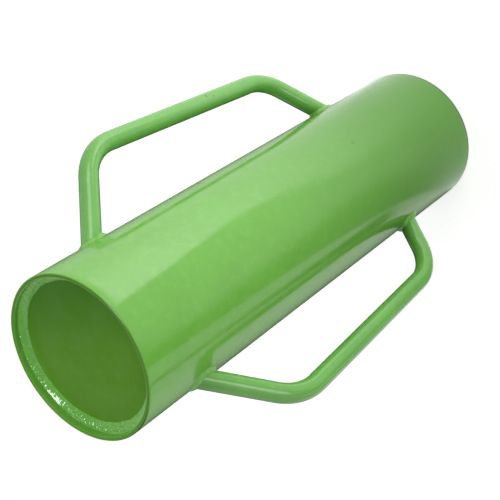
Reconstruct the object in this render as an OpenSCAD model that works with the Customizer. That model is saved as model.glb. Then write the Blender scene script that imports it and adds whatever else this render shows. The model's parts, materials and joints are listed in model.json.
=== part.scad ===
// Hand post driver: a heavy steel tube, closed near one end by a welded strike plate,
// with a bent bar handle welded to each side. It stands on its open mouth.
// Origin: centre of the mouth. +Z runs up the tube's axis to the closed end, the right
// handle is on the +X side, and both handles lean a little towards the front, -Y.

/* [Tube] */
// Outside diameter of the tube
tube_od = 168.3; // [150:0.1:180]
// Wall thickness of the tube below the strike plate's seat
tube_wall = 5; // [4:0.5:8]
// Length of the tube from the mouth to the closed end's rim
tube_length = 606; // [580:1:700]
// Bevel on the two rim edges of the mouth
mouth_bevel = 0.8; // [0.3:0.1:1.2]
// Bevel on the two rim edges of the closed end
rim_bevel = 1.4; // [0.6:0.1:1.6]

/* [Strike plate] */
// Depth of the plate's outer face below the closed end's rim
plate_recess = 11.5; // [9:0.5:15]
// Thickness of the plate
plate_thickness = 15; // [10:1:25]
// Depth to which the plate's seat is turned into the tube's wall
seat_step = 0.6; // [0.6:0.1:1.5]
// Gap between the plate's edge and the wall of its seat
plate_gap = 0.15; // [0.1:0.05:0.3]

/* [Plate weld] */
// Width of the ring weld on the plate
weld_leg = 8; // [6:0.5:10]
// Drop from the closed end's rim to the top of the ring weld
weld_drop = 4.5; // [3:0.5:6]
// Radius of the weld's crown, in widths of its sloping face
weld_crown = 1.4; // [0.8:0.1:2]

/* [Handles] */
// Diameter of the handle bar
bar_d = 20.5; // [18:0.5:25]
// Radius of the bends, to the centre of the bar
bend_radius = 61; // [45:1:65]
// Angle by which each handle stands in front of the tube's side
handle_lean = 7.5; // [0:0.5:15]
// Height of the handles' upper corners above the mouth
grip_top = 449; // [430:1:460]
// Height of the handles' lower corners above the mouth
grip_bottom = 166; // [155:1:185]

/* [Right handle] */
// Distance from the tube's axis to the upper corner
right_reach_top = 168; // [150:1:180]
// Distance from the tube's axis to the lower corner
right_reach_bottom = 152; // [140:1:170]
// Height of the upper foot on the tube's side
right_foot_top = 515; // [500:1:530]
// Height of the lower foot on the tube's side
right_foot_bottom = 111; // [90:1:130]

/* [Left handle] */
// Distance from the tube's axis to the upper corner
left_reach_top = 158; // [145:1:175]
// Distance from the tube's axis to the lower corner
left_reach_bottom = 144; // [135:1:165]
// Height of the upper foot on the tube's side
left_foot_top = 520; // [500:1:530]
// Height of the lower foot on the tube's side
left_foot_bottom = 131; // [90:1:140]

/* [Foot welds] */
// Leg of the weld round each foot of the handles
foot_weld_leg = 5; // [4:0.5:8]

/* [Hidden] */

paint = "yellowgreen";
plate_paint = "olivedrab";

tube_r = tube_od / 2;
bore_r = tube_r - tube_wall;
seat_r = bore_r + seat_step;
bar_r = bar_d / 2;
plate_top = tube_length - plate_recess;
plate_bottom = plate_top - plate_thickness;
weld_height = plate_recess - weld_drop;

// How far a bar runs into the tube before its end is coped to the tube's side
cope_depth = 12;
// The bar is a hair thinner in a bend, and its straight stretches run a little way over it
bend_thinning = 0.05;
bend_overlap = 1;
// Height of a foot weld's rounded crown, in widths of its sloping face
foot_weld_bulge = 0.05;
// Segments of the true curves, and the ring of points and points of a section of a foot weld
fine = 96;
ring_points = 36;
crown_points = 4;
// A foot weld's points stand this far off the tube, whose side is round between them
weld_stand_off = 0.05;

// The corners of a handle's centreline, as [distance from the axis, height]
right_line = [
    [tube_r, right_foot_top], [right_reach_top, grip_top],
    [right_reach_bottom, grip_bottom], [tube_r, right_foot_bottom],
];
left_line = [
    [tube_r, left_foot_top], [left_reach_top, grip_top],
    [left_reach_bottom, grip_bottom], [tube_r, left_foot_bottom],
];
right_turn = -handle_lean;
left_turn = 180 + handle_lean;

function unit(v) = v / norm(v);
function heading(v) = atan2(v[1], v[0]);

// The end of a handle's centreline, run on into the tube
function run_in(foot, corner) = foot - unit(corner - foot) * cope_depth;
// How far from a corner the straight stretches on both sides of its bend end
function tangent(before, corner, after) =
    bend_radius * tan((heading(corner - before) - heading(after - corner)) / 2);

// Points of a foot weld, in the handle's own plane with y across it.
// Where the bar's side, at an angle round the bar, meets the side of the tube
function weld_root(foot, along, angle) =
    let (
        r = bar_r / cos(180 / ring_points),
        x = foot[0] - r * cos(angle) * along[1],
        y = r * sin(angle),
        run = (sqrt(pow(tube_r + weld_stand_off, 2) - y * y) - x) / along[0]
    )
    [x + run * along[0], y, foot[1] + r * cos(angle) * along[0] + run * along[1]];
// A point moved straight in or out onto the tube's side
function onto_tube(p) =
    let (k = (tube_r + weld_stand_off) / norm([p[0], p[1]]))
    [p[0] * k, p[1] * k, p[2]];
// The edge of the weld on the tube, out from the root
function weld_toe(root, along, angle) =
    onto_tube(root + foot_weld_leg * unit([0, sin(angle), cos(angle)]));
// The section of the weld at one angle: its root, its toe, its crown and its edge on the bar
function weld_section(foot, along, angle) =
    let (
        root = weld_root(foot, along, angle),
        toe = weld_toe(root, along, angle),
        lip = root + foot_weld_leg * [along[0], 0, along[1]],
        out = unit((toe + lip) / 2 - root) * norm(toe - lip) * foot_weld_bulge
    )
    [root, for (i = [0:crown_points])
        let (f = i / crown_points) toe + (lip - toe) * f + out * sin(180 * f)];

// A straight stretch of bar between two points of the handle's own plane
module rod(from, to) {
    run = to - from;
    translate([from[0], 0, from[1]])
        rotate([0, 90 - heading(run), 0])
            cylinder(r = bar_r, h = norm(run), $fn = fine);
}

// A bend at a corner; the centreline always turns clockwise as it runs down the handle
module bend(before, corner, after) {
    into = unit(corner - before);
    out = unit(after - corner);
    turn = heading(into) - heading(out);
    centre = corner + unit(out - into) * bend_radius / cos(turn / 2);
    translate([centre[0], 0, centre[1]])
        rotate([90, 0, 0])
            rotate([0, 0, 90 + heading(out)])
                rotate_extrude(angle = turn, $fn = fine)
                    translate([bend_radius, 0])
                        circle(r = bar_r - bend_thinning, $fn = fine);
}

// The bar of one handle: three straight stretches and two bends, coped to fit the tube
module handle(line) {
    trim_top = tangent(line[0], line[1], line[2]) - bend_overlap;
    trim_bottom = tangent(line[1], line[2], line[3]) - bend_overlap;
    leg_top = unit(line[1] - line[0]);
    grip = unit(line[2] - line[1]);
    leg_bottom = unit(line[3] - line[2]);
    difference() {
        union() {
            rod(run_in(line[0], line[1]), line[1] - leg_top * trim_top);
            bend(line[0], line[1], line[2]);
            rod(line[1] + grip * trim_top, line[2] - grip * trim_bottom);
            bend(line[1], line[2], line[3]);
            rod(line[2] + leg_bottom * trim_bottom, run_in(line[3], line[2]));
        }
        cylinder(r = tube_r, h = tube_length, $fn = fine);
    }
}

// A weld round a foot: a closed ring of sections, from the tube's side to the bar's
module foot_weld(foot, corner) {
    size = crown_points + 2;
    points = [
        for (i = [0:ring_points - 1])
            each weld_section(foot, unit(corner - foot), 360 * i / ring_points)
    ];
    faces = [
        for (i = [0:ring_points - 1], j = [0:size - 1])
            let (next = (i + 1) % ring_points, up = (j + 1) % size)
            each [
                [i * size + j, next * size + up, i * size + up],
                [i * size + j, next * size + j, next * size + up],
            ]
    ];
    polyhedron(points, faces);
}

// The tube: a turned profile with beveled rims, and a shallow seat for the plate
module driver_tube() {
    m = mouth_bevel;
    e = rim_bevel;
    color(paint)
        rotate_extrude($fn = fine)
            polygon([
                [bore_r + m, 0], [tube_r - m, 0], [tube_r, m],
                [tube_r, tube_length - e], [tube_r - e, tube_length],
                [seat_r + e, tube_length], [seat_r, tube_length - e],
                [seat_r, plate_bottom], [bore_r, plate_bottom], [bore_r, m],
            ]);
}

// The disc that takes the blows, resting on the seat's shoulder
module strike_plate() {
    color(plate_paint)
        translate([0, 0, plate_bottom])
            cylinder(r = seat_r - plate_gap, h = plate_thickness, $fn = fine);
}

// The ring weld in the corner between the plate and the tube, with a rounded crown
module plate_weld() {
    face = [weld_leg, weld_height];
    crown_r = norm(face) * weld_crown;
    sink = sqrt(crown_r * crown_r - norm(face) * norm(face) / 4);
    normal = unit([-face[1], face[0]]);
    centre = [seat_r - weld_leg, plate_top] + face / 2 - normal * sink;
    color(paint)
        rotate_extrude($fn = fine)
            intersection() {
                translate([seat_r - weld_leg - 1, plate_top])
                    square([weld_leg + 1, plate_recess]);
                translate(centre)
                    circle(r = crown_r, $fn = fine);
            }
}

module right_handle() {
    color(paint) rotate([0, 0, right_turn]) handle(right_line);
}

module left_handle() {
    color(paint) rotate([0, 0, left_turn]) handle(left_line);
}

module right_upper_weld() {
    color(paint) rotate([0, 0, right_turn]) foot_weld(right_line[0], right_line[1]);
}

module right_lower_weld() {
    color(paint) rotate([0, 0, right_turn]) foot_weld(right_line[3], right_line[2]);
}

module left_upper_weld() {
    color(paint) rotate([0, 0, left_turn]) foot_weld(left_line[0], left_line[1]);
}

module left_lower_weld() {
    color(paint) rotate([0, 0, left_turn]) foot_weld(left_line[3], left_line[2]);
}

driver_tube();
strike_plate();
plate_weld();
right_handle();
left_handle();
right_upper_weld();
right_lower_weld();
left_upper_weld();
left_lower_weld();
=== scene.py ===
"""Looks of the hand post driver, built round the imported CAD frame.

Metres, in the row frame: +Z runs up the tube's axis from the open mouth to the closed end, the right
handle is on the +X side, and both handles lean a little to the front, -Y. Every visible piece stands
for one CAD node and keeps its place and size. What is added is how the thing was made: rounded rims,
bars bent and painted over mill scale, weld beads laid by hand, and one coat of gloss green enamel.
"""

import json
import math
import random

import bmesh
import bpy
from mathutils import Matrix, Vector, noise


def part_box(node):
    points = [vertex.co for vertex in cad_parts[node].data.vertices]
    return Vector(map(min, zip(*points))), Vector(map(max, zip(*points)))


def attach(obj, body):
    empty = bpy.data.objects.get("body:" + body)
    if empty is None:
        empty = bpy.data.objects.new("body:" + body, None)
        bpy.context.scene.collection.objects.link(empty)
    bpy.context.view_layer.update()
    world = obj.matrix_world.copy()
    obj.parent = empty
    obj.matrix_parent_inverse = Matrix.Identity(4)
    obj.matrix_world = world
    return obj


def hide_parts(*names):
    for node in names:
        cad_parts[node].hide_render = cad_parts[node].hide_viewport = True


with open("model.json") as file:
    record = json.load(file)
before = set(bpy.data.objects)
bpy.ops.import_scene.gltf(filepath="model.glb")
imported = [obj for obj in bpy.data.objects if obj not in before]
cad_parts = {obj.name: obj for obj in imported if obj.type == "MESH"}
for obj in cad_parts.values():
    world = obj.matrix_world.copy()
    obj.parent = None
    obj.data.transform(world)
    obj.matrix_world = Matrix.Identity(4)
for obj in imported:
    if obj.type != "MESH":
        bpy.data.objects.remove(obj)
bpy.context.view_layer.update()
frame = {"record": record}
MM = 0.001

# ---------------------------------------------------------------- sizes that come from the frame
tube_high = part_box("driver_tube")[1]
plate_low, plate_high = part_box("strike_plate")
bore_mount = next(m for m in frame["record"]["mounts"] if m["name"] == "post_bore")

TUBE_R = tube_high.x
TUBE_TOP = tube_high.z
BORE_R = bore_mount["dims"]["r_mm"] * MM
PLATE_R = plate_high.x
PLATE_TOP = plate_high.z
PLATE_BOTTOM = plate_low.z
SEAT_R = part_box("plate_weld")[1].x

# ---------------------------------------------------------------- sizes of the handles and welds
# The same as in the CAD model. Corners are those of a handle's centreline, each as its distance from the
# tube's axis and its height
BAR_R = 10.25 * MM
BEND_R = 61 * MM
HANDLE_LEAN = math.radians(7.5)
GRIP_TOP = 449 * MM
GRIP_BOTTOM = 166 * MM
RIGHT_CORNERS = [
    Vector((TUBE_R, 515 * MM)),
    Vector((168 * MM, GRIP_TOP)),
    Vector((152 * MM, GRIP_BOTTOM)),
    Vector((TUBE_R, 111 * MM)),
]
LEFT_CORNERS = [
    Vector((TUBE_R, 520 * MM)),
    Vector((158 * MM, GRIP_TOP)),
    Vector((144 * MM, GRIP_BOTTOM)),
    Vector((TUBE_R, 131 * MM)),
]
RIGHT_TURN = -HANDLE_LEAN
LEFT_TURN = math.pi + HANDLE_LEAN
FOOT_LEG = 5 * MM
MOUTH_EDGE = 0.8 * MM
RIM_EDGE = 1.4 * MM

# ---------------------------------------------------------------- the camera
# The lens and the width of the sensor are in millimetres
CAMERA_PLACE = Vector((-0.1622, -0.8528, 1.2215))
CAMERA_AIM = Vector((-0.0052, 0.0010, 0.3466))
CAMERA_ROLL = math.radians(124.0)
CAMERA_LENS = 84.39
CAMERA_SENSOR = 36
CAMERA_CLIP = (0.05, 100)
UP = Vector((0, 0, 1))


# ---------------------------------------------------------------- mesh helpers
def skin(name, rings, joined=False):
    """A closed skin over rings of points. Joined rings meet end to end; otherwise both ends are capped."""
    count = len(rings[0])
    points = [p for ring in rings for p in ring]
    faces = []
    for i in range(len(rings) if joined else len(rings) - 1):
        a = i * count
        b = (i + 1) % len(rings) * count
        for j in range(count):
            k = (j + 1) % count
            faces.append((a + j, a + k, b + k, b + j))
    if not joined:
        for start in (0, (len(rings) - 1) * count):
            points.append(sum(points[start : start + count], Vector()) / count)
            middle = len(points) - 1
            faces += [(middle, start + (j + 1) % count, start + j) for j in range(count)]
    mesh = bpy.data.meshes.new(name)
    mesh.from_pydata(points, [], faces)
    work = bmesh.new()
    work.from_mesh(mesh)
    bmesh.ops.recalc_face_normals(work, faces=work.faces)
    for face in work.faces:
        face.smooth = True
    work.to_mesh(mesh)
    work.free()
    piece = bpy.data.objects.new(name, mesh)
    bpy.context.scene.collection.objects.link(piece)
    return piece


def stands_for(piece, node, material):
    """Puts a piece in a CAD node's place, with its material."""
    piece.data.materials.append(material)
    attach(piece, "root")
    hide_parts(node)


def wobble(point, size, seed=0.0):
    """Smooth noise from -1 to 1 that changes over about the given size."""
    return noise.noise(point / size + Vector((seed, seed * 1.7, seed * 0.6)))


def uneven(point, kind):
    """Unevenness at a point. Its kind gives how far it goes, the size it changes over, and a seed."""
    reach, size, seed = kind
    return reach * wobble(point, size, seed)


def on_axis(radius, height, angle):
    """A point at a radius and height, at an angle round the tube's axis."""
    return Vector((radius * math.cos(angle), radius * math.sin(angle), height))


def arc(centre, radius, start, stop, steps):
    """Points of an arc in a section, from one angle to another, in degrees."""
    found = []
    for i in range(steps + 1):
        angle = math.radians(start + (stop - start) * i / steps)
        found.append((centre[0] + radius * math.cos(angle), centre[1] + radius * math.sin(angle)))
    return found


def between(start, stop, steps):
    """Evenly spaced points of a straight line in a section, without its two ends."""
    return [
        (start[0] + (stop[0] - start[0]) * i / steps, start[1] + (stop[1] - start[1]) * i / steps)
        for i in range(1, steps)
    ]


# ---------------------------------------------------------------- the tube and the strike plate
TUBE_SIDES = 256
TUBE_ROWS = 60
SEAT_ROWS = 8
RIM_ROWS = 4
MOUTH_STEPS = 5
RIM_STEPS = 6
# How far the pipe is out of true, and the size over which that changes: its side, and its cut rim
TUBE_WAVE = 0.07 * MM
TUBE_WAVE_SIZE = 55 * MM
RIM_WAVE = 0.12 * MM
RIM_WAVE_SIZE = 14 * MM
RIM_WAVE_SEED = 3.1
# The flattened seam inside the pipe
SEAM_HEIGHT = 0.5 * MM
SEAM_WIDTH = 2.5 * MM
SEAM_ANGLE = math.radians(205)


def tube_section():
    """The wall's outline: up the outside, over the closed end's rim, down the seat and the bore."""
    foot = MOUTH_EDGE
    rim = RIM_EDGE
    outside_foot = (TUBE_R, foot)
    outside_top = (TUBE_R, TUBE_TOP - rim)
    seat_top = (SEAT_R, TUBE_TOP - rim)
    seat_foot = (SEAT_R, PLATE_BOTTOM)
    bore_top = (BORE_R, PLATE_BOTTOM)
    bore_foot = (BORE_R, foot)
    return [
        *arc((TUBE_R - foot, foot), foot, -90, 0, MOUTH_STEPS),
        *between(outside_foot, outside_top, TUBE_ROWS),
        *arc((TUBE_R - rim, TUBE_TOP - rim), rim, 0, 90, RIM_STEPS),
        *between((TUBE_R - rim, TUBE_TOP), (SEAT_R + rim, TUBE_TOP), RIM_ROWS),
        *arc((SEAT_R + rim, TUBE_TOP - rim), rim, 90, 180, RIM_STEPS),
        *between(seat_top, seat_foot, SEAT_ROWS),
        seat_foot,
        bore_top,
        *between(bore_top, bore_foot, TUBE_ROWS),
        *arc((BORE_R + foot, foot), foot, 180, 270, MOUTH_STEPS),
        *between((BORE_R + foot, 0), (TUBE_R - foot, 0), RIM_ROWS),
    ]


def seam(radius, angle):
    """Height of the flattened seam that runs down the inside of welded pipe."""
    if radius > BORE_R + MOUTH_EDGE / 2:
        return 0.0
    away = (angle - SEAM_ANGLE) * BORE_R / SEAM_WIDTH
    return SEAM_HEIGHT * math.exp(-away * away)


def driver_tube():
    """Steel pipe: never quite true, so its gloss wanders a little, with cut rims rounded by paint."""
    section = tube_section()
    rings = []
    for i in range(TUBE_SIDES):
        angle = 2 * math.pi * i / TUBE_SIDES
        ring = []
        for radius, height in section:
            point = on_axis(radius, height, angle)
            wave = TUBE_WAVE * (1 + wobble(point, TUBE_WAVE_SIZE)) + seam(radius, angle)
            drop = 0.0
            if height > TUBE_TOP - RIM_EDGE / 2:
                drop = RIM_WAVE * (1 + wobble(point, RIM_WAVE_SIZE, RIM_WAVE_SEED))
            ring.append(on_axis(radius - wave, height - drop, angle))
        rings.append(ring)
    return skin("tube", rings, joined=True)


PLATE_SIDES = 192
PLATE_STEPS = 26
PLATE_EDGE = 1.0 * MM
PLATE_EDGE_STEPS = 4
# The faces' rings start at this radius, round a middle point
PLATE_INNER = 4 * MM
PLATE_WAVE = 0.08 * MM
PLATE_WAVE_SIZE = 28 * MM
PLATE_WAVE_SEED = 7.3


def strike_plate():
    """A flame-cut disc with softened edges and faces that are flat but not machined."""
    edge = PLATE_EDGE
    flat_r = PLATE_R - edge
    section = [
        (PLATE_INNER, PLATE_BOTTOM),
        *between((PLATE_INNER, PLATE_BOTTOM), (flat_r, PLATE_BOTTOM), PLATE_STEPS),
        *arc((flat_r, PLATE_BOTTOM + edge), edge, -90, 0, PLATE_EDGE_STEPS),
        *arc((flat_r, PLATE_TOP - edge), edge, 0, 90, PLATE_EDGE_STEPS),
        *between((flat_r, PLATE_TOP), (PLATE_INNER, PLATE_TOP), PLATE_STEPS),
        (PLATE_INNER, PLATE_TOP),
    ]
    rings = []
    for radius, height in section:
        ring = []
        for i in range(PLATE_SIDES):
            angle = 2 * math.pi * i / PLATE_SIDES
            point = on_axis(radius, height, angle)
            inward = -1 if height > (PLATE_TOP + PLATE_BOTTOM) / 2 else 1
            point.z += inward * PLATE_WAVE * (1 + wobble(point, PLATE_WAVE_SIZE, PLATE_WAVE_SEED))
            ring.append(point)
        rings.append(ring)
    return skin("strike_disc", rings)


# ---------------------------------------------------------------- the ring weld on the plate
BEAD_ANGLES = 900
BEAD_POINTS = 22
BEAD_CROWN = 0.9 * MM
BEAD_SINK = 0.3 * MM
# The ripples that each swing of the torch leaves: their pitch, their height and how far they bow
RIPPLE_PITCH = 2.4 * MM
RIPPLE_HEIGHT = 0.09 * MM
RIPPLE_BOW = 0.9
# Kinds of unevenness: how far each goes, the size it changes over, and a seed. The rough ones grow
# with the roughness of the hand
LEG_STEADY = (0.25 * MM, 8 * MM, 1.3)
LEG_ROUGH = (0.55 * MM, 8 * MM, 1.3)
RISE_STEADY = (0.35 * MM, 22 * MM, 5.1)
RISE_ROUGH = (0.4 * MM, 4 * MM, 2.2)
CROWN_CHANGE = (0.16, 15 * MM, 8.4)
RIPPLE_SLIP = (0.45, 8 * MM, 4.4)
LUMPS_ROUGH = (0.95 * MM, 3.0 * MM, 6.6)
GRAIN_ROUGH = (0.42 * MM, 1.5 * MM, 3.3)
SWELL_STEADY = (0.28 * MM, 11 * MM, 9.9)
# How the hand-laid bead changes round the ring: the angle in degrees, its width and its height
BEAD_COURSE = [
    (-30, 7.4 * MM, 6.6 * MM),
    (20, 6.8 * MM, 7.0 * MM),
    (55, 6.9 * MM, 6.6 * MM),
    (95, 8.2 * MM, 4.7 * MM),
    (130, 9.3 * MM, 5.0 * MM),
    (160, 9.2 * MM, 6.0 * MM),
    (190, 8.3 * MM, 6.8 * MM),
    (250, 7.8 * MM, 6.4 * MM),
]
# Stretches where the welder's hand was less steady: middle and half width in degrees, and how rough
ROUGH_STRETCHES = [(-14, 26, 1.0), (72, 9, 0.9), (110, 9, 0.6), (158, 36, 1.0), (255, 30, 0.4)]
LEAST_ROUGHNESS = 0.1
# The stretch where the bead ran flat: its middle and half width in degrees, and the crown left there
FLAT_STRETCH = (91, 11, 0.28)
# Drops of spatter: some at set places, as an angle in degrees and a share of the way up the bead's face,
# and the rest strewn by chance where the hand was rough
SPATTER_COUNT = 60
SPATTER_SEED = 11
SPATTER_SPOTS = [(43, 0.88), (50, 0.8), (51, 0.55), (60, 0.82), (66, 0.4), (70, 0.6), (77, 0.7)]
SET_DROP_RADIUS = 0.9 * MM
SET_DROP_HEIGHT = 0.8 * MM
STREWN_RADII = (0.45 * MM, 0.9 * MM)
STREWN_UP = (0.05, 0.95)
STREWN_FLATNESS = 0.6
# A drop ends where the square of the distance is this many times the square of its radius
DROP_REACH = 6


def bead_course(angle):
    """Width and height of the bead at an angle round the ring, between the places where they are set."""
    turn = math.degrees(angle) % 360
    stops = [(at % 360, width, height) for at, width, height in BEAD_COURSE]
    stops.sort()
    before = max((stop for stop in stops if stop[0] <= turn), default=stops[-1])
    after = min((stop for stop in stops if stop[0] > turn), default=stops[0])
    span = (after[0] - before[0]) % 360
    share = (turn - before[0]) % 360 / span
    ease = share * share * (3 - 2 * share)
    return tuple(a + (b - a) * ease for a, b in zip(before[1:], after[1:]))


def degrees_from(middle, angle):
    """How far an angle is from a middle given in degrees, the short way round."""
    return (math.degrees(angle) - middle + 180) % 360 - 180


def roughness_of_hand(angle):
    """How lumpy the bead is at an angle round the ring, from nearly smooth to rough."""
    found = LEAST_ROUGHNESS
    for middle, half, height in ROUGH_STRETCHES:
        found += height * math.exp(-((degrees_from(middle, angle) / half) ** 2))
    return found


def flatness(angle):
    """How much of its crown the bead keeps at an angle round the ring: less where it ran flat."""
    middle, half, left = FLAT_STRETCH
    return 1 - (1 - left) * math.exp(-((degrees_from(middle, angle) / half) ** 4))


def spatter_drops():
    """Little drops on the bead: the angle, the share of the way up its face, the radius and height."""
    chance = random.Random(SPATTER_SEED)
    drops = [(math.radians(at), up, SET_DROP_RADIUS, SET_DROP_HEIGHT) for at, up in SPATTER_SPOTS]
    while len(drops) < SPATTER_COUNT:
        at = chance.uniform(0, 2 * math.pi)
        if chance.random() < roughness_of_hand(at):
            radius = chance.uniform(*STREWN_RADII)
            drops.append((at, chance.uniform(*STREWN_UP), radius, radius * STREWN_FLATNESS))
    return drops


def drops_lift(angle, share, breadth, drops):
    """How far the drops raise the bead at an angle and a share of the way up a face of this breadth."""
    lift = 0.0
    for at, up, radius, peak in drops:
        along = ((angle - at + math.pi) % (2 * math.pi) - math.pi) * SEAT_R
        across = (share - up) * breadth
        far = (along * along + across * across) / (radius * radius)
        if far < DROP_REACH:
            lift += peak * math.exp(-far)
    return lift


def bead_lift(angle, share, spot, hand):
    """How far the bead's own face stands out at a spot, a share of the way up it, without its drops."""
    here = on_axis(SEAT_R, 0, angle)
    arch = math.sin(math.pi * share)
    crown = BEAD_CROWN * arch * flatness(angle) * (1 + uneven(here, CROWN_CHANGE))
    bow = RIPPLE_BOW * (2 * share - 1) ** 2
    beat = 2 * math.pi * (angle * SEAT_R / RIPPLE_PITCH + uneven(here, RIPPLE_SLIP)) - bow
    ripple = RIPPLE_HEIGHT * hand * arch**0.5 * math.sin(beat)
    lumps = hand * arch**0.6 * uneven(spot, LUMPS_ROUGH)
    grain = hand * arch**0.5 * uneven(spot, GRAIN_ROUGH)
    swell = arch * uneven(spot, SWELL_STEADY)
    return crown + ripple + lumps + grain + swell


def bead_ring(angle, drops):
    """One section of the ring weld: its crowned face from the plate up to the wall, then its root."""
    hand = roughness_of_hand(angle) * flatness(angle)
    here = on_axis(SEAT_R, 0, angle)
    width, height = bead_course(angle)
    leg = width + uneven(here, LEG_STEADY) + hand * uneven(here, LEG_ROUGH)
    rise = height + uneven(here, RISE_STEADY) + hand * uneven(here, RISE_ROUGH)
    toe = Vector((SEAT_R - leg, PLATE_TOP - BEAD_SINK / 3))
    top = Vector((SEAT_R + BEAD_SINK / 3, PLATE_TOP + rise))
    face = top - toe
    out = Vector((-face.y, face.x)).normalized()
    ring = []
    for j in range(BEAD_POINTS + 1):
        share = j / BEAD_POINTS
        flat = toe + face * share
        lift = bead_lift(angle, share, on_axis(flat.x, flat.y, angle), hand)
        lift += drops_lift(angle, share, face.length, drops)
        place = flat + out * lift
        ring.append(on_axis(min(place.x, SEAT_R + BEAD_SINK), place.y, angle))
    ring.append(on_axis(SEAT_R + BEAD_SINK, PLATE_TOP - BEAD_SINK, angle))
    return ring


def plate_bead():
    """The ring weld that holds the strike plate, laid by hand in one pass."""
    drops = spatter_drops()
    rings = [bead_ring(2 * math.pi * i / BEAD_ANGLES, drops) for i in range(BEAD_ANGLES)]
    return skin("ring_bead", rings, joined=True)


# ---------------------------------------------------------------- the handles
BAR_SIDES = 48
BAR_STEP = 2.2 * MM
BEND_STEPS = 24
COPE_LENGTH = 13 * MM
COPE_STEPS = 5
COPE_SINK = 0.3 * MM
# The mill scale under the paint: its depth, with a coarse and a fine part
BAR_PITTING = 0.09 * MM
PITTING_COARSE = (0.6, 7 * MM, 2.5)
PITTING_FINE = (0.4, 2.6 * MM, 5.5)
# How much a bend squeezes the bar, and how far from the bend that fades out
BEND_FLATTENING = 0.02
FLATTENING_REACH = 12 * MM
# The squeeze is full but for this many points at each end of a bend, where it starts to fade out
BEND_LEAD = 4


def bend_points(before, corner, after):
    """Points of the round bend at a corner, in the handle's own plane."""
    into = (corner - before).normalized()
    out = (after - corner).normalized()
    turn = into.angle(out)
    trim = BEND_R * math.tan(turn / 2)
    centre = corner + (out - into).normalized() * BEND_R / math.cos(turn / 2)
    first = corner - into * trim - centre
    last = corner + out * trim - centre
    return [
        centre + (first * math.sin((1 - f) * turn) + last * math.sin(f * turn)) / math.sin(turn)
        for f in (i / BEND_STEPS for i in range(BEND_STEPS + 1))
    ]


def evenly(points, step):
    """The same line with points about a step apart, kept at its corners' own places."""
    found = [points[0]]
    for a, b in zip(points, points[1:]):
        count = max(1, round((b - a).length / step))
        found += [a.lerp(b, i / count) for i in range(1, count + 1)]
    return found


def bar_line(corners):
    """Points of the centreline between the two copes, and the points of its two bends."""
    first_leg = (corners[1] - corners[0]).normalized()
    last_leg = (corners[2] - corners[3]).normalized()
    bends = [bend_points(*corners[0:3]), bend_points(*corners[1:4])]
    start = corners[0] + first_leg * COPE_LENGTH
    end = corners[3] + last_leg * COPE_LENGTH
    return evenly([start, *bends[0], *bends[1], end], BAR_STEP), bends


def turned(point, turn):
    """A point of the handle's own frame, turned round the tube's axis to its place."""
    return Matrix.Rotation(turn, 3, "Z") @ point


def bar_ring(centre, direction, squeeze, turn):
    """A ring of the bar's side, square to its line, in the row frame."""
    across = Vector((0, 1, 0))
    run = Vector((direction.x, 0, direction.y))
    normal = run.cross(across)
    middle = Vector((centre.x, 0, centre.y))
    ring = []
    for i in range(BAR_SIDES):
        angle = 2 * math.pi * i / BAR_SIDES
        way = across * math.sin(angle) * (1 + squeeze / 2) + normal * math.cos(angle) * (1 - squeeze)
        spot = turned(middle + way * BAR_R, turn)
        pit = BAR_PITTING * (uneven(spot, PITTING_COARSE) + uneven(spot, PITTING_FINE) + 1) / 2
        ring.append(turned(middle + way * (BAR_R - pit), turn))
    return ring


def cope_point(foot, direction, angle, tube_r):
    """Where a line along the bar's side, at an angle round it, meets the side of the tube."""
    run = Vector((direction.x, 0, direction.y))
    across = Vector((0, 1, 0))
    start = Vector((foot.x, 0, foot.y)) + across * BAR_R * math.sin(angle)
    start += run.cross(across) * BAR_R * math.cos(angle)
    reach = math.sqrt(tube_r * tube_r - start.y * start.y) - start.x
    return start + run * reach / run.x


def coped_ring(foot, direction, turn):
    """The bar's end, cut to lie against the round side of the tube."""
    ring = []
    for i in range(BAR_SIDES):
        angle = 2 * math.pi * i / BAR_SIDES
        ring.append(turned(cope_point(foot, direction, angle, TUBE_R - COPE_SINK), turn))
    return ring


def handle_bar(name, corners, turn):
    """Round bar, cold bent twice and coped at both feet, painted over its mill scale."""
    line, bends = bar_line(corners)
    rings = []
    for i, centre in enumerate(line):
        before = line[max(i - 1, 0)]
        after = line[min(i + 1, len(line) - 1)]
        nearest = min((centre - p).length for bend in bends for p in bend[BEND_LEAD:-BEND_LEAD])
        squeeze = BEND_FLATTENING * max(0.0, 1 - nearest / FLATTENING_REACH)
        rings.append(bar_ring(centre, (after - before).normalized(), squeeze, turn))
    first = coped_ring(corners[0], (corners[1] - corners[0]).normalized(), turn)
    back = coped_ring(corners[3], (corners[2] - corners[3]).normalized(), turn)
    # The last foot's line runs the other way, so its ring is turned about to match the bar's rings
    last = [back[(BAR_SIDES // 2 - i) % BAR_SIDES] for i in range(BAR_SIDES)]
    start = [[a.lerp(b, s / COPE_STEPS) for a, b in zip(first, rings[0])] for s in range(COPE_STEPS)]
    end = [[a.lerp(b, s / COPE_STEPS) for a, b in zip(rings[-1], last)] for s in range(1, COPE_STEPS + 1)]
    return skin(name, start + rings + end)


# ---------------------------------------------------------------- the welds round the handles' feet
FOOT_ANGLES = 200
FOOT_POINTS = 12
FOOT_SINK = 0.35 * MM
FOOT_CROWN = 0.03
# The ripples' pitch, height and bow
FOOT_RIPPLE = 2.1 * MM
FOOT_RIPPLE_HEIGHT = 0.06 * MM
FOOT_RIPPLE_BOW = 0.9
# Unevenness of the legs: each a share of the leg and the size it changes over, coarse and then fine
TUBE_LEG_WAVES = ((0.16, 9 * MM), (0.13, 3.2 * MM))
BAR_LEG_WAVES = ((0.14, 8 * MM), (0.12, 3 * MM))
# Unevenness of the face: how far it goes and the size it changes over
FOOT_LUMPS = (0.5 * MM, 3.4 * MM)
FOOT_SWELL = (0.3 * MM, 9 * MM)


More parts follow.
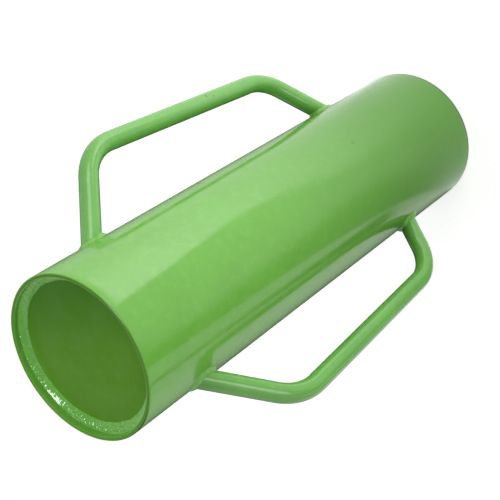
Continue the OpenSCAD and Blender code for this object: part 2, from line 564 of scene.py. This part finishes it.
def onto_tube(point, radius):
    """A point moved straight in or out to a radius from the tube's axis."""
    scale = radius / math.hypot(point.x, point.y)
    return Vector((point.x * scale, point.y * scale, point.z))


def uneven_leg(point, waves, seed):
    """Length of a foot weld's leg, uneven at a coarse and a fine scale."""
    coarse, fine = waves
    change = uneven(point, (*coarse, seed)) + uneven(point, (*fine, seed + 1))
    return FOOT_LEG * (1 + change)


def axis_point(foot, run, point):
    """The point of the bar's own line that is nearest to a point."""
    start = Vector((foot.x, 0, foot.y))
    return start + run * (point - start).dot(run)


def foot_ring(foot, direction, angle, turn, seed):
    """One section of a foot's weld, at an angle round the bar."""
    run = Vector((direction.x, 0, direction.y))
    root = cope_point(foot, direction, angle, TUBE_R)
    away = Vector((0, math.sin(angle), math.cos(angle)))
    circle = Vector((math.cos(angle), math.sin(angle), 0)) * BAR_R
    tube_leg = uneven_leg(circle, TUBE_LEG_WAVES, seed)
    bar_leg = uneven_leg(circle, BAR_LEG_WAVES, seed + 2)
    toe = onto_tube(root + away * tube_leg, TUBE_R - FOOT_SINK / 3)
    bar_side = (root - axis_point(foot, run, root)).normalized()
    lip = root + run * bar_leg - bar_side * FOOT_SINK / 2
    face = lip - toe
    out = ((toe + lip) / 2 - root).normalized()
    ring = [turned(root - out * FOOT_SINK, turn)]
    beat = 2 * math.pi * angle * (BAR_R + FOOT_LEG / 2) / FOOT_RIPPLE
    for j in range(FOOT_POINTS + 1):
        share = j / FOOT_POINTS
        arch = math.sin(math.pi * share)
        flat = toe + face * share
        bow = FOOT_RIPPLE_BOW * (2 * share - 1) ** 2
        lift = face.length * FOOT_CROWN * arch
        lift += FOOT_RIPPLE_HEIGHT * arch * math.sin(beat - bow)
        lift += arch**0.7 * uneven(flat, (*FOOT_LUMPS, seed + 4))
        lift += arch * uneven(flat, (*FOOT_SWELL, seed + 5))
        ring.append(turned(flat + out * lift, turn))
    return ring


def foot_bead(name, foot, corner, turn, seed):
    """The lumpy fillet weld round one foot of a handle."""
    direction = (corner - foot).normalized()
    rings = [
        foot_ring(foot, direction, 2 * math.pi * i / FOOT_ANGLES, turn, seed) for i in range(FOOT_ANGLES)
    ]
    return skin(name, rings, joined=True)


# ---------------------------------------------------------------- materials
# A chip in the enamel: how ragged it is, and where it starts and is full, in sizes of the chip
CHIP_RAGGED = 1.2
CHIP_OUTSIDE = 1.9
CHIP_INSIDE = 0.8
CHIP_STRENGTH = 0.75


class Nodes:
    """A material's node tree, with short calls for the nodes that the finishes share."""

    def __init__(self, name):
        self.material = bpy.data.materials.new(name)
        self.material.use_nodes = True
        self.tree = self.material.node_tree
        self.shader = self.tree.nodes["Principled BSDF"]
        self.place = self.tree.nodes.new("ShaderNodeTexCoord").outputs["Object"]

    def link(self, source, target):
        self.tree.links.new(source, target)

    def noise(self, size, detail=2.0, rough=0.5):
        """Noise that changes over about the given size in metres."""
        node = self.tree.nodes.new("ShaderNodeTexNoise")
        node.inputs["Scale"].default_value = 1 / size
        node.inputs["Detail"].default_value = detail
        node.inputs["Roughness"].default_value = rough
        self.link(self.place, node.inputs["Vector"])
        return node.outputs["Fac"]

    def spread(self, value, low, high, to_low, to_high):
        """The value, stretched smoothly from one range to another."""
        node = self.tree.nodes.new("ShaderNodeMapRange")
        node.interpolation_type = "SMOOTHSTEP"
        sockets = ("From Min", "From Max", "To Min", "To Max")
        for socket, number in zip(sockets, (low, high, to_low, to_high)):
            node.inputs[socket].default_value = number
        self.link(value, node.inputs["Value"])
        return node.outputs["Result"]

    def math(self, kind, total, *others):
        """Values put together one after the other, each a number or a node's output."""
        for other in others:
            node = self.tree.nodes.new("ShaderNodeMath")
            node.operation = kind
            for socket, value in zip(node.inputs, (total, other)):
                if isinstance(value, (int, float)):
                    socket.default_value = value
                else:
                    self.link(value, socket)
            total = node.outputs["Value"]
        return total

    def mix(self, share, a, b):
        """One colour turning into another as the share goes from 0 to 1."""
        node = self.tree.nodes.new("ShaderNodeMix")
        node.data_type = "RGBA"
        self.link(share, node.inputs["Factor"])
        for socket, value in zip((node.inputs[6], node.inputs[7]), (a, b)):
            if isinstance(value, tuple):
                socket.default_value = (*value, 1)
            else:
                self.link(value, socket)
        return node.outputs[2]

    def distance(self, place):
        """Distance from a place."""
        node = self.tree.nodes.new("ShaderNodeVectorMath")
        node.operation = "DISTANCE"
        self.link(self.place, node.inputs[0])
        node.inputs[1].default_value = place
        return node.outputs["Value"]

    def along(self, way, start=(0, 0, 0)):
        """Distance along a direction, from a start."""
        node = self.tree.nodes.new("ShaderNodeVectorMath")
        node.operation = "DOT_PRODUCT"
        self.link(self.place, node.inputs[0])
        node.inputs[1].default_value = way
        return self.math("SUBTRACT", node.outputs["Value"], Vector(way).dot(Vector(start)))

    def spot(self, place, size):
        """Strongest inside an uneven spot round a place, and nothing outside it."""
        ragged = self.math("MULTIPLY", self.noise(size), size * CHIP_RAGGED)
        away = self.math("ADD", self.distance(place), ragged)
        return self.spread(away, size * CHIP_OUTSIDE, size * CHIP_INSIDE, 0, CHIP_STRENGTH)

    def bump(self, height, distance, strength, under=None):
        """A surface raised by up to a distance as the height goes from 0 to 1, over another if given."""
        node = self.tree.nodes.new("ShaderNodeBump")
        node.inputs["Strength"].default_value = strength
        node.inputs["Distance"].default_value = distance
        self.link(height, node.inputs["Height"])
        if under is not None:
            self.link(under, node.inputs["Normal"])
        return node.outputs["Normal"]


GREEN = (0.133, 0.390, 0.046)
GREEN_THIN = (0.185, 0.450, 0.066)
GREEN_DEEP = (0.100, 0.330, 0.030)
# Painted shade: the darker olive of the closed end's rim flat
RIM_SHADE_GREEN = (0.115, 0.290, 0.034)
# Painted shade: the darker green of the tube towards its mouth
MOUTH_SHADE_GREEN = (0.088, 0.245, 0.036)
# Painted shadow: the darker green of the plate next to the tube's near rim
PLATE_SHADOW_GREEN = (0.074, 0.245, 0.020)
# Dark undercoat of the chips, also used for the painted shadow round the mouth and the painted dark
# reflection on the rim's outer edge
PRIMER_AND_PAINTED_DARK = (0.040, 0.085, 0.022)

# Noises of the enamel, each with its size, detail and roughness
CLOUDS = (70 * MM, 3.0, 0.55)
FLECKS = (9 * MM, 4.0, 0.6)
GLOSS_CLOUDS = (24 * MM, 3.0, 0.6)
MILL_SCALE = (3.5 * MM, 3.0, 0.65)
# Levels of a noise between which its effect sets in
CLOUD_SPAN = (0.35, 0.65)
FLECK_SPAN = (0.45, 0.75)
GLOSS_SPAN = (0.3, 0.7)
# How much of its base green a cloud keeps, and how much of the thin green a fleck takes on
CLOUD_SHADE = 0.94
FLECK_SHARE = 0.35
# Sharpness between which an edge or a hollow takes on its own green, and how much of it
EDGE_SPAN = (0.52, 0.60)
HOLLOW_SPAN = (0.48, 0.42)
EDGE_SHARE = 0.8
# Orange peel: the size and the depth of its fine and its coarse waves
PEEL_FINE = (2.2 * MM, 0.05 * MM)
PEEL_COARSE = (12 * MM, 0.12 * MM)
PEEL_DETAIL = 1.0
PITTING_DEPTH = 0.25 * MM
COAT_IOR = 1.5

# The tube is painted darker towards the mouth, as painted shade, and is duller there, over this span of
# heights; round the mouth itself it is painted dark, a painted shadow
MOUTH_SHADE_SPAN = (0.08, 0.50)
MOUTH_SHADE_RAGGED = 0.08
MOUTH_DULLNESS = 0.6
MOUTH_SHADOW_SPAN = (3.2 * MM, 1.6 * MM)
# Depths below the closed end's top at which its cut rim, and the edge of the rim, set in
RIM_DEPTHS = (0.7 * RIM_EDGE, 0.3 * RIM_EDGE)
EDGE_DEPTHS = (1.3 * RIM_EDGE, RIM_EDGE)
# The rim's outer edge sets in this far from the tube's side, and its flat this far from the seat
OUTER_EDGE = (1.2 * MM, 0.6 * MM)
RIM_FLAT = (0.5 * MM, 1.1 * MM)
# Towards the back the rim's painted shade grows weaker, and its outer edge is painted dark, a painted dark
# reflection, and dulled: spans and levels
RIM_BACK = (-0.4, 0.9, 0)
RIM_SHADE_SPAN = (-0.03, 0.05, 1, 0.3)
DARK_EDGE_SPAN = (-0.02, 0.03, 0, 1)
# The specular level of fresh and of dull enamel
SPECULAR_LEVELS = (0.5, 0.05)
# The plate is painted darker towards this side: a painted shadow of the tube's near rim
PLATE_SHADOW_SIDE = (0.81, -0.59, 0)
PLATE_SHADOW_SPAN = (-0.01, 0.085)
PLATE_SHADOW_RAGGED = 0.02
# Below the plate, the weld paint's paler tint, which is painted light, turns mostly into the tube's green
TINT_FADE_DEPTH = 10 * MM
TINT_FADE_SHARE = 0.85


def enamel_colour(nodes, clouds, tint):
    """Green that is deeper in hollows, and thinner and paler on sharp edges and in flecks."""
    base, thin, deep = (tuple(a * b for a, b in zip(c, tint)) for c in (GREEN, GREEN_THIN, GREEN_DEEP))
    shaded = tuple(part * CLOUD_SHADE for part in base)
    sharpness = nodes.tree.nodes.new("ShaderNodeNewGeometry").outputs["Pointiness"]
    colour = nodes.mix(nodes.spread(clouds, *CLOUD_SPAN, 0, 1), base, shaded)
    colour = nodes.mix(nodes.spread(nodes.noise(*FLECKS), *FLECK_SPAN, 0, FLECK_SHARE), colour, thin)
    colour = nodes.mix(nodes.spread(sharpness, *HOLLOW_SPAN, 0, EDGE_SHARE), colour, deep)
    return nodes.mix(nodes.spread(sharpness, *EDGE_SPAN, 0, EDGE_SHARE), colour, thin)


def lit_tint_at_plate(nodes, colour, clouds):
    """Enamel that has its paler painted-light tint only at the strike plate, and mostly the tube's green
    below it.
    """
    below = nodes.spread(nodes.along(UP), PLATE_BOTTOM - TINT_FADE_DEPTH, PLATE_BOTTOM, TINT_FADE_SHARE, 0)
    return nodes.mix(below, colour, GREEN)


def plate_shadow(nodes, colour, clouds):
    """Enamel painted darker towards one side: a painted shadow of the tube's near rim on the plate."""
    ragged = nodes.math("MULTIPLY", clouds, PLATE_SHADOW_RAGGED)
    shade = nodes.math("ADD", nodes.along(PLATE_SHADOW_SIDE), ragged)
    # Painted shadow: darker green towards the near rim
    return nodes.mix(nodes.spread(shade, *PLATE_SHADOW_SPAN, 0, 1), colour, PLATE_SHADOW_GREEN)


def tube_painted_shade(nodes, colour, clouds):
    """Painted shade on the tube's enamel: darker towards the mouth, where it is also duller, a darker olive
    on the closed end's rim flat, a painted shadow round the mouth itself, and a painted dark reflection on
    the rim's outer edge at the back.
    """
    height = nodes.along(UP)
    depth = nodes.math("SUBTRACT", TUBE_TOP, height)
    radius = nodes.distance((0, 0, TUBE_TOP))
    back = nodes.along(RIM_BACK)
    ragged = nodes.math("MULTIPLY", clouds, MOUTH_SHADE_RAGGED)
    mouth_shade_and_dull = nodes.spread(nodes.math("ADD", height, ragged), *MOUTH_SHADE_SPAN, 1, 0)
    # Painted shade: darker green towards the mouth
    colour = nodes.mix(mouth_shade_and_dull, colour, MOUTH_SHADE_GREEN)
    outer_edge = nodes.spread(radius, TUBE_R - OUTER_EDGE[0], TUBE_R - OUTER_EDGE[1], 0, 1)
    on_flat = nodes.spread(radius, SEAT_R + RIM_FLAT[0], SEAT_R + RIM_FLAT[1], 0, 1)
    flat = nodes.math("MULTIPLY", nodes.spread(depth, *RIM_DEPTHS, 0, 1), on_flat)
    flat = nodes.math("SUBTRACT", flat, nodes.math("MULTIPLY", flat, outer_edge))
    flat = nodes.math("MULTIPLY", flat, nodes.spread(back, *RIM_SHADE_SPAN))
    # Painted shade: the rim's flat painted a darker olive, less so towards the back
    colour = nodes.mix(flat, colour, RIM_SHADE_GREEN)
    # Painted shadow: a dark band round the mouth itself
    mouth_shadow_and_dull = nodes.spread(height, *MOUTH_SHADOW_SPAN, 0, 1)
    colour = nodes.mix(mouth_shadow_and_dull, colour, PRIMER_AND_PAINTED_DARK)
    # Painted reflection: the rim's outer edge painted dark towards the back, and dulled
    at_edge = nodes.spread(depth, *EDGE_DEPTHS, 0, 1)
    dark_edge_and_dull = nodes.math("MULTIPLY", at_edge, nodes.spread(back, *DARK_EDGE_SPAN))
    colour = nodes.mix(nodes.math("MULTIPLY", dark_edge_and_dull, outer_edge), colour, PRIMER_AND_PAINTED_DARK)
    mouth_dull = nodes.math("MULTIPLY", mouth_shade_and_dull, MOUTH_DULLNESS)
    dull = nodes.math("MAXIMUM", dark_edge_and_dull, mouth_shadow_and_dull, mouth_dull)
    specular = nodes.spread(dull, 0, 1, *SPECULAR_LEVELS)
    nodes.link(specular, nodes.shader.inputs["Specular IOR Level"])
    return colour


def enamel_surface(nodes, peel, pitting):
    """The surface of the enamel: a faint orange peel, and the pitting of mill scale under it."""
    normal = None
    for size, depth in (PEEL_FINE, PEEL_COARSE):
        normal = nodes.bump(nodes.noise(size, PEEL_DETAIL), depth, peel, normal)
    if pitting:
        normal = nodes.bump(nodes.noise(*MILL_SCALE), PITTING_DEPTH, pitting, normal)
    return normal


def enamel(name, tint=(1, 1, 1), gloss=(0.10, 0.20), peel=0.5, pitting=0.0, nicks=(), finish=None):
    """Gloss green enamel, with its tint, the range of its roughness, and how strong its bumps are.

    Nicks are places, each with a size, where the enamel is chipped through to its dark undercoat. A finish
    adds what only one kind of piece has: it takes the nodes, the colour so far and the broad clouds.
    """
    nodes = Nodes(name)
    clouds = nodes.noise(*CLOUDS)
    colour = enamel_colour(nodes, clouds, tint)
    for place, size in nicks:
        colour = nodes.mix(nodes.spot(place, size), colour, PRIMER_AND_PAINTED_DARK)
    if finish:
        colour = finish(nodes, colour, clouds)
    nodes.link(colour, nodes.shader.inputs["Base Color"])
    roughness = nodes.spread(nodes.noise(*GLOSS_CLOUDS), *GLOSS_SPAN, *gloss)
    nodes.link(roughness, nodes.shader.inputs["Roughness"])
    nodes.link(enamel_surface(nodes, peel, pitting), nodes.shader.inputs["Normal"])
    nodes.shader.inputs["IOR"].default_value = COAT_IOR
    return nodes.material


# ---------------------------------------------------------------- studio
TABLE_HALF = 30.0
TABLE_WHITE = 0.80
TABLE_GLOW = 0.70
# Spans are in metres from the tube's axis, or from an edge, which is a place on it and the way across it.
# The table's bright part lies in front to the right: far from the tube it starts at one x, and nearer to
# the tube its edge runs on towards the tube's side
BRIGHT_SIDE_SPAN = (0.232, 0.248)
BRIGHT_EDGE = ((0.24, -0.43, 0), (0.496, 0.868, 0))
BRIGHT_EDGE_SPAN = (-0.008, 0.012)
BRIGHT_NEAR_SPAN = (-0.04, 0.05)
# It is brightest far in front, and ends behind the tube and at a distance from it
BRIGHT_SPAN = (-0.85, 0.0)
BRIGHT_GLOW = (3.0, 0.2)
BRIGHT_BACK = (0.0, 0.12)
BRIGHT_REACH = (0.86, 1.00)
# The table's dim part lies in front to the left, beyond a sharp slanting edge, and fades out again
DIM_EDGE = ((-0.33, -0.10, 0), (0.455, -0.890, 0))
DIM_EDGE_SPAN = (-0.01, 0.015)
DIM_SPAN = (0.12, 0.34)
DIM_SIDE_SPAN = (-0.20, -0.05)
DIM_STRENGTH = 0.72
# A narrow dim strip runs from the tube out to the left, between these y and from these x
STRIP_FRONT = (-0.048, -0.036)
STRIP_BACK = (0.008, 0.024)
STRIP_START = (-0.24, -0.19)
# The share of its white that the table keeps where it is dimmest
DIM_SHADE = 0.03
# Beyond the same sharp edge, the table's white halves far out to the left
LEFT_FADE = (-0.66, -0.47)
LEFT_SHADE = 0.5
# Behind the driver the table is dark. It turns white in front, and between these turns round the
# tube's left side and round its right side
FRONT_SPAN = (-0.02, 0.03)
LEFT_WHITE = (math.radians(86), math.radians(163))
RIGHT_WHITE = (math.radians(75), math.radians(8))
# The sky darkens between these heights, as shares of its whole height, from one level to the other
SKY_RAMP = (0.35, 0.58)
SKY_LEVELS = (1.0, 0.05)
# The lights: name, place, the point that it faces, width and height, watts, and feathering of its edges
LIGHTS = [
    ("right_wall", (1.05, -1.60, 0.65), (0, 0, 0.45), (1.5, 1.2), 20.0, 0.25),
    ("left_wall", (-1.20, -1.80, 0.60), (0, 0, 0.45), (1.2, 1.0), 13.5, 0.25),
    ("front_top", (0.40, -1.10, 2.20), (0, 0, 0.60), (1.4, 1.0), 4.0, 0.2),
    ("lamp", (0.19, 0.12, 1.80), (0, 0.08, 0.6), (0.38, 0.26), 5.2, 0.0),
]


def bright_part(nodes, x, y):
    """The glow of the table's bright part."""
    place, way = BRIGHT_EDGE
    far = nodes.spread(x, *BRIGHT_SIDE_SPAN, 0, 1)
    near = nodes.spread(nodes.along(way, place), *BRIGHT_EDGE_SPAN, 0, 1)
    near = nodes.math("MULTIPLY", near, nodes.spread(x, *BRIGHT_NEAR_SPAN, 0, 1))
    level = nodes.spread(y, *BRIGHT_SPAN, *BRIGHT_GLOW)
    ends = nodes.spread(y, *BRIGHT_BACK, 1, 0)
    reach = nodes.spread(nodes.distance((0, 0, 0)), *BRIGHT_REACH, 1, 0)
    return nodes.math("MULTIPLY", nodes.math("MAXIMUM", far, near), level, ends, reach)


def dim_part(nodes, x, y):
    """The shade of white that the table's dim part, its strip and its far left side leave."""
    place, way = DIM_EDGE
    beyond = nodes.along(way, place)
    sharp = nodes.spread(beyond, *DIM_EDGE_SPAN, 0, 1)
    soft = nodes.spread(beyond, *DIM_SPAN, 1, 0)
    side = nodes.spread(x, *DIM_SIDE_SPAN, 1, 0)
    dim = nodes.math("MULTIPLY", sharp, soft, side, DIM_STRENGTH)
    front = nodes.spread(y, *STRIP_FRONT, 0, 1)
    back = nodes.spread(y, *STRIP_BACK, 1, 0)
    strip = nodes.math("MULTIPLY", front, back, nodes.spread(x, *STRIP_START, 1, 0))
    shade = nodes.spread(nodes.math("MAXIMUM", dim, strip), 0, 1, 1, DIM_SHADE)
    near = nodes.spread(x, *LEFT_FADE, LEFT_SHADE, 1)
    fade = nodes.math("MAXIMUM", near, nodes.spread(beyond, *DIM_EDGE_SPAN, 1, LEFT_SHADE))
    return nodes.math("MULTIPLY", shade, fade)


def sides_and_front(nodes, y):
    """Where the table is white: in front of the driver, and beside it up to a turn round either side."""
    left = nodes.math("ARCTAN2", y, nodes.along((1, 0, 0), (-TUBE_R, 0, 0)))
    right = nodes.math("ARCTAN2", y, nodes.along((1, 0, 0), (TUBE_R, 0, 0)))
    left = nodes.spread(left, *LEFT_WHITE, 0, 1)
    right = nodes.spread(right, *RIGHT_WHITE, 0, 1)
    return nodes.math("MAXIMUM", left, right, nodes.spread(y, *FRONT_SPAN, 1, 0))


def table_in_reflections(nodes):
    """How the table shows in the enamel, as the shade of its white and the glow of its bright part."""
    x = nodes.along((1, 0, 0))
    y = nodes.along((0, 1, 0))
    shade = nodes.math("MULTIPLY", dim_part(nodes, x, y), sides_and_front(nodes, y))
    return shade, bright_part(nodes, x, y)


def studio_floor():
    """A table that is plain white to the camera, and to all other rays shaded, as if by cards out of view."""
    mesh = bpy.data.meshes.new("floor")
    corners = [(x * TABLE_HALF, y * TABLE_HALF, 0) for x, y in ((-1, -1), (1, -1), (1, 1), (-1, 1))]
    mesh.from_pydata(corners, [], [(0, 1, 2, 3)])
    floor = bpy.data.objects.new("floor", mesh)
    bpy.context.scene.collection.objects.link(floor)
    nodes = Nodes("light_table")
    shader = nodes.shader
    seen = nodes.tree.nodes.new("ShaderNodeLightPath").outputs["Is Camera Ray"]
    shade, bright = table_in_reflections(nodes)
    shade = nodes.math("MAXIMUM", shade, seen)
    white = nodes.mix(shade, (0, 0, 0), (TABLE_WHITE, TABLE_WHITE, TABLE_WHITE))
    unseen = nodes.math("SUBTRACT", 1.0, seen)
    even_glow = nodes.math("MULTIPLY", shade, TABLE_GLOW)
    glow = nodes.math("ADD", even_glow, nodes.math("MULTIPLY", bright, unseen))
    nodes.link(white, shader.inputs["Base Color"])
    shader.inputs["Roughness"].default_value = 0.9
    shader.inputs["Specular IOR Level"].default_value = 0.0
    shader.inputs["Emission Color"].default_value = (1, 1, 1, 1)
    nodes.link(glow, shader.inputs["Emission Strength"])
    nodes.material.cycles.emission_sampling = "NONE"
    floor.data.materials.append(nodes.material)


def studio_sky():
    """White walls all round, up to the height of a low cove, and a dark ceiling."""
    world = bpy.data.worlds.new("studio")
    bpy.context.scene.world = world
    world.use_nodes = True
    tree = world.node_tree
    place = tree.nodes.new("ShaderNodeTexCoord")
    split = tree.nodes.new("ShaderNodeSeparateXYZ")
    ramp = tree.nodes.new("ShaderNodeMapRange")
    ramp.interpolation_type = "SMOOTHSTEP"
    ramp.inputs["From Min"].default_value = SKY_RAMP[0]
    ramp.inputs["From Max"].default_value = SKY_RAMP[1]
    ramp.inputs["To Min"].default_value = SKY_LEVELS[0]
    ramp.inputs["To Max"].default_value = SKY_LEVELS[1]
    tree.links.new(place.outputs["Generated"], split.inputs["Vector"])
    tree.links.new(split.outputs["Z"], ramp.inputs["Value"])
    tree.links.new(ramp.outputs["Result"], tree.nodes["Background"].inputs["Strength"])
    tree.nodes["Background"].inputs["Color"].default_value = (1, 1, 1, 1)


def softbox(name, place, aim, size, power, feather):
    """An area light at a place, turned to an aim. With feathering, it fades towards its edges."""
    data = bpy.data.lights.new(name, "AREA")
    data.shape = "RECTANGLE"
    data.size, data.size_y = size
    data.energy = power
    light = bpy.data.objects.new(name, data)
    light.location = place
    light.rotation_mode = "QUATERNION"
    light.rotation_quaternion = (Vector(aim) - Vector(place)).to_track_quat("-Z", "Y")
    light.visible_camera = False
    bpy.context.scene.collection.objects.link(light)
    if feather:
        feather_edges(data, feather)


def feather_edges(data, feather):
    """Fades a light over the given share of its width and of its height, at each edge."""
    data.use_nodes = True
    tree = data.node_tree
    spot = tree.nodes.new("ShaderNodeNewGeometry")
    split = tree.nodes.new("ShaderNodeSeparateXYZ")
    tree.links.new(spot.outputs["Parametric"], split.inputs["Vector"])
    fades = []
    for side in ("X", "Y"):
        for low, high in ((0.0, feather), (1.0, 1.0 - feather)):
            fade = tree.nodes.new("ShaderNodeMapRange")
            fade.interpolation_type = "SMOOTHSTEP"
            fade.inputs["From Min"].default_value = low
            fade.inputs["From Max"].default_value = high
            tree.links.new(split.outputs[side], fade.inputs["Value"])
            fades.append(fade.outputs["Result"])
    total = fades[0]
    for fade in fades[1:]:
        times = tree.nodes.new("ShaderNodeMath")
        times.operation = "MULTIPLY"
        tree.links.new(total, times.inputs[0])
        tree.links.new(fade, times.inputs[1])
        total = times.outputs[0]
    tree.links.new(total, tree.nodes["Emission"].inputs["Strength"])


def camera():
    """The camera, turned on its side as the driver lies in the picture."""
    data = bpy.data.cameras.new("camera")
    data.lens = CAMERA_LENS
    data.sensor_width = CAMERA_SENSOR
    data.clip_start, data.clip_end = CAMERA_CLIP
    ahead = (CAMERA_AIM - CAMERA_PLACE).normalized()
    level = ahead.cross(UP).normalized()
    above = level.cross(ahead)
    up = above * math.cos(CAMERA_ROLL) + level * math.sin(CAMERA_ROLL)
    right = ahead.cross(up)
    turn = Matrix((right, up, -ahead)).transposed().to_4x4()
    rig = bpy.data.objects.new("camera", data)
    rig.matrix_world = Matrix.Translation(CAMERA_PLACE) @ turn
    bpy.context.scene.collection.objects.link(rig)
    bpy.context.scene.camera = rig


# ---------------------------------------------------------------- everything in its place
camera()
studio_floor()
studio_sky()
for light in LIGHTS:
    softbox(*light)
bpy.context.scene.view_settings.view_transform = "Standard"

# Chips in the enamel: their places and sizes
TUBE_NICKS = [
    ((0.0147, -0.0828, 0.2010), 2.4 * MM),
    ((-0.0309, -0.0783, 0.1050), 1.4 * MM),
]
BAR_NICKS = [
    ((0.1588, -0.0306, 0.2707), 1.8 * MM),
    ((0.1547, -0.0307, 0.2607), 1.2 * MM),
]
tube_paint = enamel("tube_enamel", nicks=TUBE_NICKS, finish=tube_painted_shade)
# Plate enamel tinted darker and more olive: painted shade, as the plate faces away from the light
plate_paint_shaded = enamel("plate_enamel_shaded", tint=(0.97, 0.90, 0.6), gloss=(0.14, 0.24), finish=plate_shadow)
# Weld enamel tinted paler and bluer: painted light and sheen on the beads
weld_paint_lit = enamel("weld_enamel_lit", tint=(1.35, 1.3, 1.85), gloss=(0.07, 0.14), peel=0.45, finish=lit_tint_at_plate)
bar_paint = enamel(
    "bar_enamel", tint=(0.98, 0.98, 1.4), gloss=(0.10, 0.19), peel=0.6, pitting=0.12, nicks=BAR_NICKS
)

stands_for(driver_tube(), "driver_tube", tube_paint)
stands_for(strike_plate(), "strike_plate", plate_paint_shaded)
stands_for(plate_bead(), "plate_weld", weld_paint_lit)

# The handles: their side, corners and turn, and the seed of their welds' unevenness
HANDLES = [("right", RIGHT_CORNERS, RIGHT_TURN, 37.5), ("left", LEFT_CORNERS, LEFT_TURN, 31.9)]
for side, corners, turn, seed in HANDLES:
    bar = handle_bar(f"{side}_bar", corners, turn)
    stands_for(bar, f"{side}_handle", bar_paint)
    feet = [("upper", corners[0], corners[1]), ("lower", corners[3], corners[2])]
    for end, foot, corner in feet:
        bead = foot_bead(f"{side}_{end}_bead", foot, corner, turn, seed)
        stands_for(bead, f"{side}_{end}_weld", weld_paint_lit)
